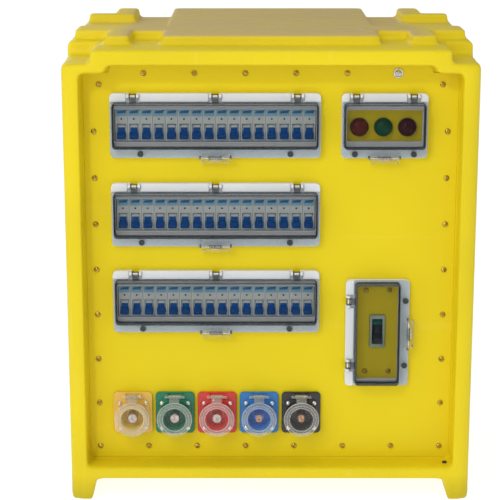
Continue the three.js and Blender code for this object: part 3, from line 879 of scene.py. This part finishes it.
# Rings of the pane, from the middle of its front round its edge to the middle of its back, and of the
# walls that carry it: how far each is drawn in, its y, and its corner radius.
PANE_RINGS = [
    (9, -26, 11), (4.2, -26, 8), (2, -25.4, 5.5), (0.9, -24, 5.5), (0.7, -22, 5.5), (2.9, -22, 5.5),
    (3.6, -23, 5.5), (5.4, -23.6, 8), (9, -23.6, 11),
]
WALL_RINGS = [(0, -9.2, 5.5), (0.7, -21.8, 5.5), (2.9, -21.8, 5.5), (2.4, -9.2, 5.5)]
# A screw cap's outline, as points of (radius, y).
CAP_PROFILE = [(0, -9.4), (4.3, -9.4), (4.3, -10.3), (3.7, -11), (2.6, -11.1), (2.4, -10.4), (0, -10.4)]


def dome_outline(half, inset, radius=5.5):
    """The outline of a cover's dome, drawn in all round by the inset."""
    corner = max(0.6, radius - inset)
    return rounded(-half + inset, half - inset, DOME_LOW + inset, DOME_HIGH - inset, corner, steps=6)


def dome_rings(half, rings):
    return [
        [(x, y, z) for x, z in dome_outline(half, inset, radius)]
        for inset, y, radius in rings
    ]


def cover_seal(half):
    """The dark seal under the dome's edge, narrower along the top."""
    hole = rounded(-half + SEAL_WIDTH, half - SEAL_WIDTH, DOME_LOW + SEAL_WIDTH, DOME_HIGH - SEAL_TOP,
                   3, steps=6)[::-1]
    return slab([dome_outline(half, 0), hole], -9.1, -6.3, 0.5)


def make_window_cover(name, space, length):
    half = length / 2
    dome_half = half - DOME_INSET

    def piece(label, shape, material, slot, replaced=()):
        finished(f"cover_{label}_{name}", shape, material, "cover_" + name, replaced, space)

    pane = loft(dome_rings(dome_half, PANE_RINGS))
    piece("pane", pane, "smoked", "smoked_clear", ["window_cover_" + name])
    walls = loft(dome_rings(dome_half, WALL_RINGS), True)
    piece("walls", walls, "smoked_wall", "smoked_clear")
    flange_edge = rounded(-half, half, -HIGH / 2, HIGH / 2 - BAND - 0.5, CORNER, 2, 6)
    flange_hole = dome_outline(dome_half, -0.1)[::-1]
    flange = slab([flange_edge, flange_hole], -9.5, -6.5, 0.6)
    piece("flange", flange, "smoked_flange", "smoked_clear")
    piece("seal", cover_seal(dome_half), "seal", "dark_seal")
    arms = [arm for x in HINGES.get(name, ROW_HINGES) for arm in hinge_arm(x)]
    for left, right in on_both_sides(20.6, 23.6):
        arms.append(block(left, right, LATCH_Y - 2.5, BAND_FACE, -47, -43, 0.6))
    piece("arms", joined(*arms), "smoked_wall", "smoked_clear")
    cap = turned(CAP_PROFILE, 24)
    reach = CAP_REACHES.get(name, ROW_CAP_REACH)
    caps = copies(cap, [at(side * reach, 0, CAP_Z) for side in (-1, 1)])
    piece("caps", caps, "cap", "dark_seal")


def hinge_arm(x):
    """A plate from the flange with two thin prongs that take the pin on each side of the knuckle."""
    parts = [
        block(x - 5, x + 5, -12.8, -9.4, 32.8, 40, 0.6),
        block(x - 5, x + 5, -10.6, -8.4, 43.6, 46.4, 0.6),
    ]
    for left, right in on_both_sides(3.8, 5):
        parts.append(block(x + left, x + right, -12.8, -9.8, 39, 43, 0.4))
        parts.append(pin(KNUCKLE, x + left, x + right, HINGE_Y, HINGE_Z, 20))
    return parts


# The clip's side view, as points of (y, z).
CLIP = [
    (-17.6, -38), (-16, -37.5), (-14.6, -38.2), (-14.6, -43.6), (-14.2, -46.5), (-14.6, -50.6),
    (-3.2, -51.4), (-3.2, -53.6), (-15.5, -54.2), (-17.4, -52.8), (-18.4, -48), (-18.4, -42),
]


def make_latch(name, space):
    """A clear clip with a cheek at each end, on a pin with a coil spring round its middle."""
    half = 20
    cheek = 1.4
    body = "latch_" + name
    sheet = ridge(CLIP, -half + cheek, half - cheek, 0.5)
    finished("latch_" + name, sheet, "clear", body,
             ["window_latch_" + name], space)
    edges = joined(
        ridge(CLIP, -half, -half + cheek, 0.3),
        ridge(CLIP, half - cheek, half, 0.3),
    )
    finished("latch_edges_" + name, edges, "clear_edge", body, space=space)
    # Painted highlights: thin strips of lighter, less clear plastic where the clip's edges catch the
    # light.
    lines = joined(
        block(-half * 0.34, half * 0.34, -19, -18.2, -49.6, -48.6, 0.4),
        block(-half, half, -3.6, -2.8, -54, -53.2, 0.3),
        *[block(side - 0.4, side + 0.4, -15, -3.2, -54, -50.8, 0.3)
          for side in (-half + 0.6, half - 0.6)],
    )
    finished("latch_highlights_" + name, lines, "clear_highlight", body, space=space)
    rod = pin(1.2, -half - 3.9, half + 3.9, LATCH_Y, LATCH_Z)
    finished("latch_pin_" + name, rod, "steel", body, space=space)
    coil = coil_spring(2.3, 0.55, 20, 9)
    coil.transform(at(0, LATCH_Y, LATCH_Z))
    finished("latch_spring_" + name, coil, "dark_steel", body, space=space)


def coil_spring(radius, wire, length, turns):
    """Spring wire wound round the X axis."""
    steps = 14
    total = turns * steps
    rings = []
    for index in range(total + 1):
        angle = 2 * math.pi * index / steps
        outward = Vector((0, math.cos(angle), math.sin(angle)))
        centre = outward * radius + Vector(((index / total - 0.5) * length, 0, 0))
        sides = [2 * math.pi * corner / 6 for corner in range(6)]
        rings.append([
            centre + outward * wire * math.cos(side) + Vector((1, 0, 0)) * wire * math.sin(side)
            for side in sides
        ])
    return loft(rings)


# ---- Breakers -----------------------------------------------------------------------------------
MODULE = 18
MODULES = 16
TOGGLE_Z = -6.5
TOGGLE_Y = 4
TOGGLE_DROP = 40
GROUP = 4
STRIPE = [(-6.6, 17.2), (5.6, 17.4), (7.4, 21.8), (-4.8, 20.6)]
# Sections of a handle and of the main switch's lever: y, half the width, the low and the high face.
PADDLE = [
    (0, 5.1, -2.2, 2.6), (-8, 5.1, -2.1, 2.6), (-11.6, 5.5, -2.1, 2.8),
    (-13, 6.2, -2.2, 2.8), (-16.9, 6.3, -2.3, 2.8), (-17.6, 5.9, -1.8, 2.3),
]
LEVER = [
    (0, 6, -6.2, 6.2), (-22, 6, -5.6, 5.6), (-26, 5.5, -4.8, 4.8),
    (-30.4, 6, -5.2, 5.2), (-31.4, 5.6, -4.8, 4.8),
]


def beam(sections):
    """A solid through rectangles of (y, half the width, low, high)."""
    return loft([
        [(x, y, z) for x, z in ((-half, low), (half, low), (half, high), (-half, high))]
        for y, half, low, high in sections
    ])


def breaker_module():
    """One breaker: its nose with the handle's slot and the slot's rim, and its body and feet behind."""
    half = MODULE / 2 - 0.15
    nose = rounded(-half, half, -23.1, 22.9, 0.8, steps=2)
    slot = rounded(-6.6, 6.6, -17.5, 2.2, 1, steps=2)[::-1]
    rim = rounded(-7.6, 7.6, -18.6, 3.4, 1.6, steps=2)
    return joined(
        slab([nose, slot], -3, 13, 0.5, 1),
        slab([rim, slot], -3.6, -2.5, 0.25, 1),
        block(-half, half, 12.5, 62, -40, 40, 0.8, 1),
        block(-half, half, 61, 67, 18, 40, 0.8, 1),
        block(-half, half, 61, 67, -40, -18, 0.8, 1),
        block(-5, 5, -3.5, -2.5, 6.4, 12, 0.3, 1),
    )


def make_breaker_row(name, face):
    centre = middle("breaker_bank_" + name)
    row = at(centre.x, face, centre.z)
    places = [at((index - (MODULES - 1) / 2) * MODULE, 0, 0) for index in range(MODULES)]

    def piece(label, shape, material, slot, replaced=(), sharp=38):
        finished(f"breaker{label}_{name}", copies(shape, places), material, "root",
                 replaced, row, sharp)

    piece("s", breaker_module(), "breaker", "breaker_plastic", ["breaker_bank_" + name], 30)
    label = block(-7.8, 7.8, -3.3, -2.8, 13, 22.4, 0.2, 1)
    piece("_labels", label, "label", "toggle_blue")
    piece("_stripes", slab([STRIPE], -3.55, -3.2, 0.1, 1), "stripe", "toggle_blue")
    dot = turned([(0, -3), (1.4, -3), (1.4, -3.7), (1.1, -3.9), (0, -3.9)], 12)
    dot.transform(at(0, 0, 9.2))
    piece("_dots", dot, "black", "switch_black")
    paint("din_rail_" + name, "steel")
    for index, letter in enumerate("abcd"):
        make_toggles(name, letter, places[index * GROUP:(index + 1) * GROUP], row)


def make_toggles(name, letter, places, row):
    ribs = [
        block(-5.2, 5.2, y, y + 0.8, 2.4, 3.1, 0.25, 1)
        for y in (-16.4, -14.7, -13)
    ]
    hub = ridge([(0, 0), *arc(0, 0, 7.9, 114, 132, 12)], -5.1, 5.1, 0.2)
    handle = joined(applied(beam(PADDLE), "paddle", softened(0.5)), hub, *ribs)
    tilt = at(0, TOGGLE_Y, TOGGLE_Z) @ Matrix.Rotation(math.radians(TOGGLE_DROP), 4, "X")
    body = f"toggle_{name}_{letter}"
    handles = copies(handle, [place @ tilt for place in places])
    finished(f"toggles_{name}_{letter}", handles, "toggle", body,
             [f"breaker_toggle_{name}_{letter}"], row)
    drums = copies(pin(7.6, -6.2, 6.2, 0, 0, 32), [place @ tilt for place in places])
    first, last = (place.translation.x / MM for place in (places[0], places[-1]))
    bar = pin(2.3, first, last, TOGGLE_Y, TOGGLE_Z)
    finished(f"toggle_drums_{name}_{letter}", joined(drums, bar), "breaker", body,
             space=row)


def softened(width):
    """For applied: rounds the sharp edges."""
    def add(holder):
        modifier = holder.modifiers.new("bevel", "BEVEL")
        modifier.width = width * MM
        modifier.segments = 2
        modifier.limit_method = "ANGLE"
        modifier.angle_limit = math.radians(40)
    return add


# ---- Pilot lamps and main switch ----------------------------------------------------------------
LENS_RADIUS = 12.8
LENS_HEIGHT = 9.6
LENS_FOOT = -4
SWITCH_SCREW_X = 17.3
SWITCH_SCREW_Z = 62.4


def make_lamp(name, face):
    centre = middle("pilot_lamp_" + name)
    space = at(centre.x, face, centre.z)
    body = turned([
        (0, 41), (10.6, 41), (10.6, 6), (11, 6), (11, -0.3), (13.5, -0.3), (13.5, -3.2), (13.2, -4),
        (12.9, -4), (12.7, -3.4), (0, -3.4),
    ], 40)
    finished("lamp_body_" + name, body, "cap", "root", ["pilot_lamp_" + name], space)
    angles = [math.radians(angle) for angle in range(0, 90, 10)]
    dome = [
        (LENS_RADIUS * math.cos(angle), LENS_FOOT - LENS_HEIGHT * math.sin(angle)) for angle in angles
    ]
    lens = turned([(0, -3), (12.6, -3), *dome, (0, LENS_FOOT - LENS_HEIGHT)], 40)
    finished("lamp_lens_" + name, lens, "lamp_" + name, "root", space=space)


def make_main_switch(face):
    paint("main_switch_body", "switch")
    centre = middle("main_switch_body")
    space = at(centre.x, face, centre.z)
    edge = rounded(-11, 11, -24, 24, 1.2, steps=3)
    slot = rounded(-7.8, 7.8, -19, 19, 0.8, steps=2)[::-1]
    bezel = slab([edge, slot], -4.4, -3.2, 0.4)
    finished("switch_bezel", bezel, "switch", "root", space=space)
    heads = copies(pan_head(3.9, 2.4), [
        spun(centre.x + side * SWITCH_SCREW_X, face, centre.z + level * SWITCH_SCREW_Z)
        for side in (-1, 1) for level in (-1, 1)
    ])
    finished("switch_screws", heads, "screw", "root")
    pivot = frame_joint("switch_handle_pivot")
    drum = pin(20, -7.2, 7.2, 0, 0, 64)
    lever = applied(beam(LEVER), "lever", softened(0.7))
    tilt = at(*pivot) @ Matrix.Rotation(math.radians(25), 4, "X")
    finished("switch_lever", joined(drum, lever), "black", "switch_handle",
             ["main_switch_handle"], tilt)
    shutter = arc(0, 0, 20.5, 118, 34, 8) + arc(0, 0, 19.5, 152, -34, 8)
    finished("switch_shutter", ridge(shutter, -7, 7, 0.1), "shutter",
             "switch_handle", space=at(*pivot))


def frame_joint(name):
    """Where a joint is, in millimetres."""
    place = next(joint["pos_m"] for joint in frame["joints"] if joint["name"] == name)
    return [part / MM for part in place]


# ---- Front sockets ------------------------------------------------------------------------------
FLANGE_LOW = -28
SOCKET_SCREW = 19.4
BARREL = [
    (0, 39), (20, 39), (20, -3), (22.6, -3), (22.2, -24), (21.6, -25.6), (20.6, -26), (17.6, -26),
    (16.9, -25.4), (16.5, -24), (16.5, -1.2), (12.6, -1.2), (12.6, -5), (10.4, -5), (10.4, -1.2),
    (0, -1.2),
]
LINER = [(0, -1.3), (16.4, -1.3), (16.4, -24.4), (16.1, -24.4), (16.1, -2), (0, -2)]
POST = [(0, -1.8), (7, -1.8), (7, -15.6), (6.6, -16.2), (0, -16.2)]


def corners(reach):
    return [(side * reach, level * reach) for side in (-1, 1) for level in (-1, 1)]


def socket_body():
    """The flange with its raised middle, the barrel, and the two lugs that hold the flap's pin."""
    flange = rounded(-29, 29, FLANGE_LOW, 36, 6)
    raised = rounded(-25, 25, -25, 25.5, 9)
    through = circle(17, 40)[::-1]
    lugs = [
        block(left, right, -15.6, -5, 29.4, 34.6, 0.7)
        for left, right in on_both_sides(9.55, 12.95)
    ]
    return joined(
        slab([flange, through], -5.2, -0.3, 1.1),
        slab([raised, through], -6.8, -4.5, 0.8),
        turned(BARREL, 48), *lugs,
    )


def contact(copper):
    """The slotted contact. The copper one is narrower, has flat sides and stands on a post."""
    wide, back = (6.2, -16) if copper else (7.1, -1.5)
    sleeve = turned([
        (0, back), (wide, back), (wide, -20), (wide - 0.7, -20.8), (1.6, -21), (1.2, -20.2), (0, -20.2),
    ], 32)
    cut = 0.5 if copper else 0.35
    gaps = [block(-cut, cut, -30, -19, -8, 8, 0.1, 1)]
    if copper:
        for left, right in on_both_sides(4, 9):
            gaps.append(block(left, right, -30, -4, -8, 8, 0.1, 1))
    return carved(sleeve, joined(*gaps))


def make_socket(name, face):
    low, high = box("supply_socket_" + name)
    space = at((low.x + high.x) / 2, face, low.z - FLANGE_LOW)
    copper = name in ("blue", "black")

    def piece(label, shape, material, slot, replaced=()):
        finished(f"{label}_{name}", shape, material, "root", replaced, space)

    piece("socket", socket_body(), "socket_" + name, "socket_" + name, ["supply_socket_" + name])
    # The liner's lighter colour is painted light inside the bore.
    piece("socket_liner", turned(LINER, 48), "liner_" + name, "socket_" + name)
    if copper:
        piece("contact_post", turned(POST, 32), "liner_" + name, "socket_" + name)
    piece("contact", contact(copper), "copper" if copper else "contact", "plated_steel")
    heads = copies(pan_head(3.5, 2.6), [spun(x, -6.6, z) for x, z in corners(SOCKET_SCREW)])
    piece("socket_screws", heads, "nickel", "plated_steel")
    make_flap(name, space)


FLAP_Y = -13
FLAP_Z = 32
FLAP_RISE = 1.5
FLAP_LENS = [(0, -28.4), (16.8, -28.4), (17.3, -29.2), (16.8, -30), (0, -30)]
FLAP_RING = [
    (17.2, -28.2), (18.6, -27.2), (19.4, -26.6), (24.4, -26.6), (25.5, -27), (26, -28), (26, -30.6),
    (25.2, -31.8), (23.6, -32.2), (22.4, -31.4), (21, -31.4), (19.8, -32.2), (18.4, -31.6), (17.2, -30.2),
    (17.2, -28.2),
]
# The rims are painted highlights, bright rings where the flap's edges catch the light: inner and outer
# radius, front and back.
FLAP_HIGHLIGHT_RIMS = [(25.2, 26, -30.9, -29.9), (21.4, 21.8, -31.7, -31.2), (17.4, 18, -31.2, -30.4)]
# The arm's side view, as points of (y, z).
FLAP_ARM = [
    (-31.8, 26.6), (-28.4, 26.6), (-28.4, 29), (-24, 29.4), (-13, 29.4), (-11.4, 32), (-13, 34.6),
    (-24, 34.6), (-30.4, 33.6), (-31.8, 31.4),
]


def flap_disc(profile):
    """A round part of the flap, from a profile about the flap's own middle."""
    disc = turned(profile, 56)
    disc.transform(at(0, 0, FLAP_RISE))
    return disc


def make_flap(name, space):
    def piece(label, shape, material, slot="clear_plastic", body="flap_" + name, replaced=()):
        finished(f"{label}_{name}", shape, material, body, replaced, space)

    piece("flap", flap_disc(FLAP_LENS), "clear", replaced=["socket_flap_" + name])
    arm = ridge(FLAP_ARM, -7.5, 7.5, 0.6)
    bar = pin(2.6, -9.1, 9.1, FLAP_Y, FLAP_Z, 20)
    wings = block(-15, 15, -18.9, -17.1, 30.4, 34.4, 0.6)
    piece("flap_ring", joined(flap_disc(FLAP_RING), arm, bar, wings), "clear_edge")
    # Painted highlights: thin rings of lighter, less clear plastic on the flap's edges.
    rims = [
        flap_disc([(near, front), (far, front), (far, back), (near, back), (near, front)])
        for near, far, front, back in FLAP_HIGHLIGHT_RIMS
    ]
    piece("flap_highlight_rims", joined(*rims), "clear_highlight")
    rod = pin(1.1, -13.6, 13.6, FLAP_Y, FLAP_Z)
    piece("flap_pin", rod, "steel", "plated_steel", "root")


# ---- Rear sockets -------------------------------------------------------------------------------
OUTLET_SCREW = 22
OUTLET_BARREL = [
    (18, 1), (19, 1), (19, 3), (22, 4), (22, 8), (21.2, 8.6), (21.2, 10), (22, 10.6), (22, 12.6),
    (21.2, 13.2), (21.2, 14.6), (22, 15.2), (22, 20.6), (21.4, 21.6), (19.6, 22), (18.6, 21.4), (18, 20),
    (18, 1),
]
OUTLET_REAR = [(0, -36), (19, -36), (20, -35), (20, 1), (0, 1)]
INSERT = [(0, 2), (17.9, 2), (17.9, 18.4), (17.2, 19), (0, 19)]


def make_outlet(index, shell, insert):
    centre = middle(f"output_socket_{index}")
    face = box("rear_panel")[1].y
    space = at(centre.x, face, centre.z)

    def piece(label, shape, material, slot, replaced=()):
        finished(f"{label}_{index}", shape, material, "root", replaced, space)

    piece("outlet", shell.copy(), "outlet", "outlet_metal", [f"output_socket_{index}"])
    piece("outlet_insert", insert.copy(), "insert", "outlet_metal")
    heads = copies(pan_head(3, 2), [spun(x, 4.4, z, True) for x, z in corners(OUTLET_SCREW)])
    piece("outlet_screws", heads, "steel", "plated_steel")


def outlet_shell():
    """The square flange, the threaded barrel in front of it and the cable end behind."""
    hole = circle(17, 40)[::-1]
    flange = rounded(-28, 28, -28, 28, 5)
    return joined(
        slab([flange, hole], 0.3, 4.5, 0.9),
        turned(OUTLET_BARREL, 48), turned(OUTLET_REAR, 40),
    )


def outlet_insert():
    """The round insert, with nineteen contact holes in rings of one, six and twelve."""
    spots = [(0, 0)]
    for count, radius in ((6, 6.4), (12, 12.6)):
        spots += circle(radius, count)
    drill = turned([(0, 0), (1.5, 0), (1.5, 8), (0, 8)], 10)
    return carved(turned(INSERT, 40), copies(drill, [at(x, 14, z) for x, z in spots]))


# ---- Floor and assembly -------------------------------------------------------------------------
def make_floor():
    shape = bmesh.new()
    bmesh.ops.create_grid(shape, x_segments=8, y_segments=8, size=12)
    data = bpy.data.meshes.new("floor")
    shape.to_mesh(data)
    shape.free()
    made, tree, shader = start_material("floor_paper", FLOOR_GREY, 0.9, Emission_Strength=FLOOR_GLOW)
    shader.inputs["Emission Color"].default_value = (1, 1, 1, 1)
    tree.links.new(spread(tree, noise(tree, 2), 0.85, 0.95), shader.inputs["Roughness"])
    data.materials.append(made)
    floor = bpy.data.objects.new("floor", data)
    scene.collection.objects.link(floor)


def build():
    make_camera()
    make_studio()
    make_floor()
    MATERIALS.update(make_materials())
    face = box("front_panel")[0].y
    make_housing()
    make_front_panel(face)
    make_rear_panel()
    make_drain_plug()
    for name in ("row1", "row2", "row3", "lamps", "switch"):
        space, length = window_space(name)
        make_window_frame(name, space, length)
        make_window_cover(name, space, length)
        make_latch(name, space)
    for name in ("row1", "row2", "row3"):
        make_breaker_row(name, face)
    for name, slot in (("left", "lamp_red"), ("middle", "lamp_green"), ("right", "lamp_dark_red")):
        make_lamp(name, face)
    make_main_switch(face)
    for name in SOCKET_COLOURS:
        make_socket(name, face)
    shell, insert = outlet_shell(), outlet_insert()
    for index in range(1, 9):
        make_outlet(index, shell, insert)


build()
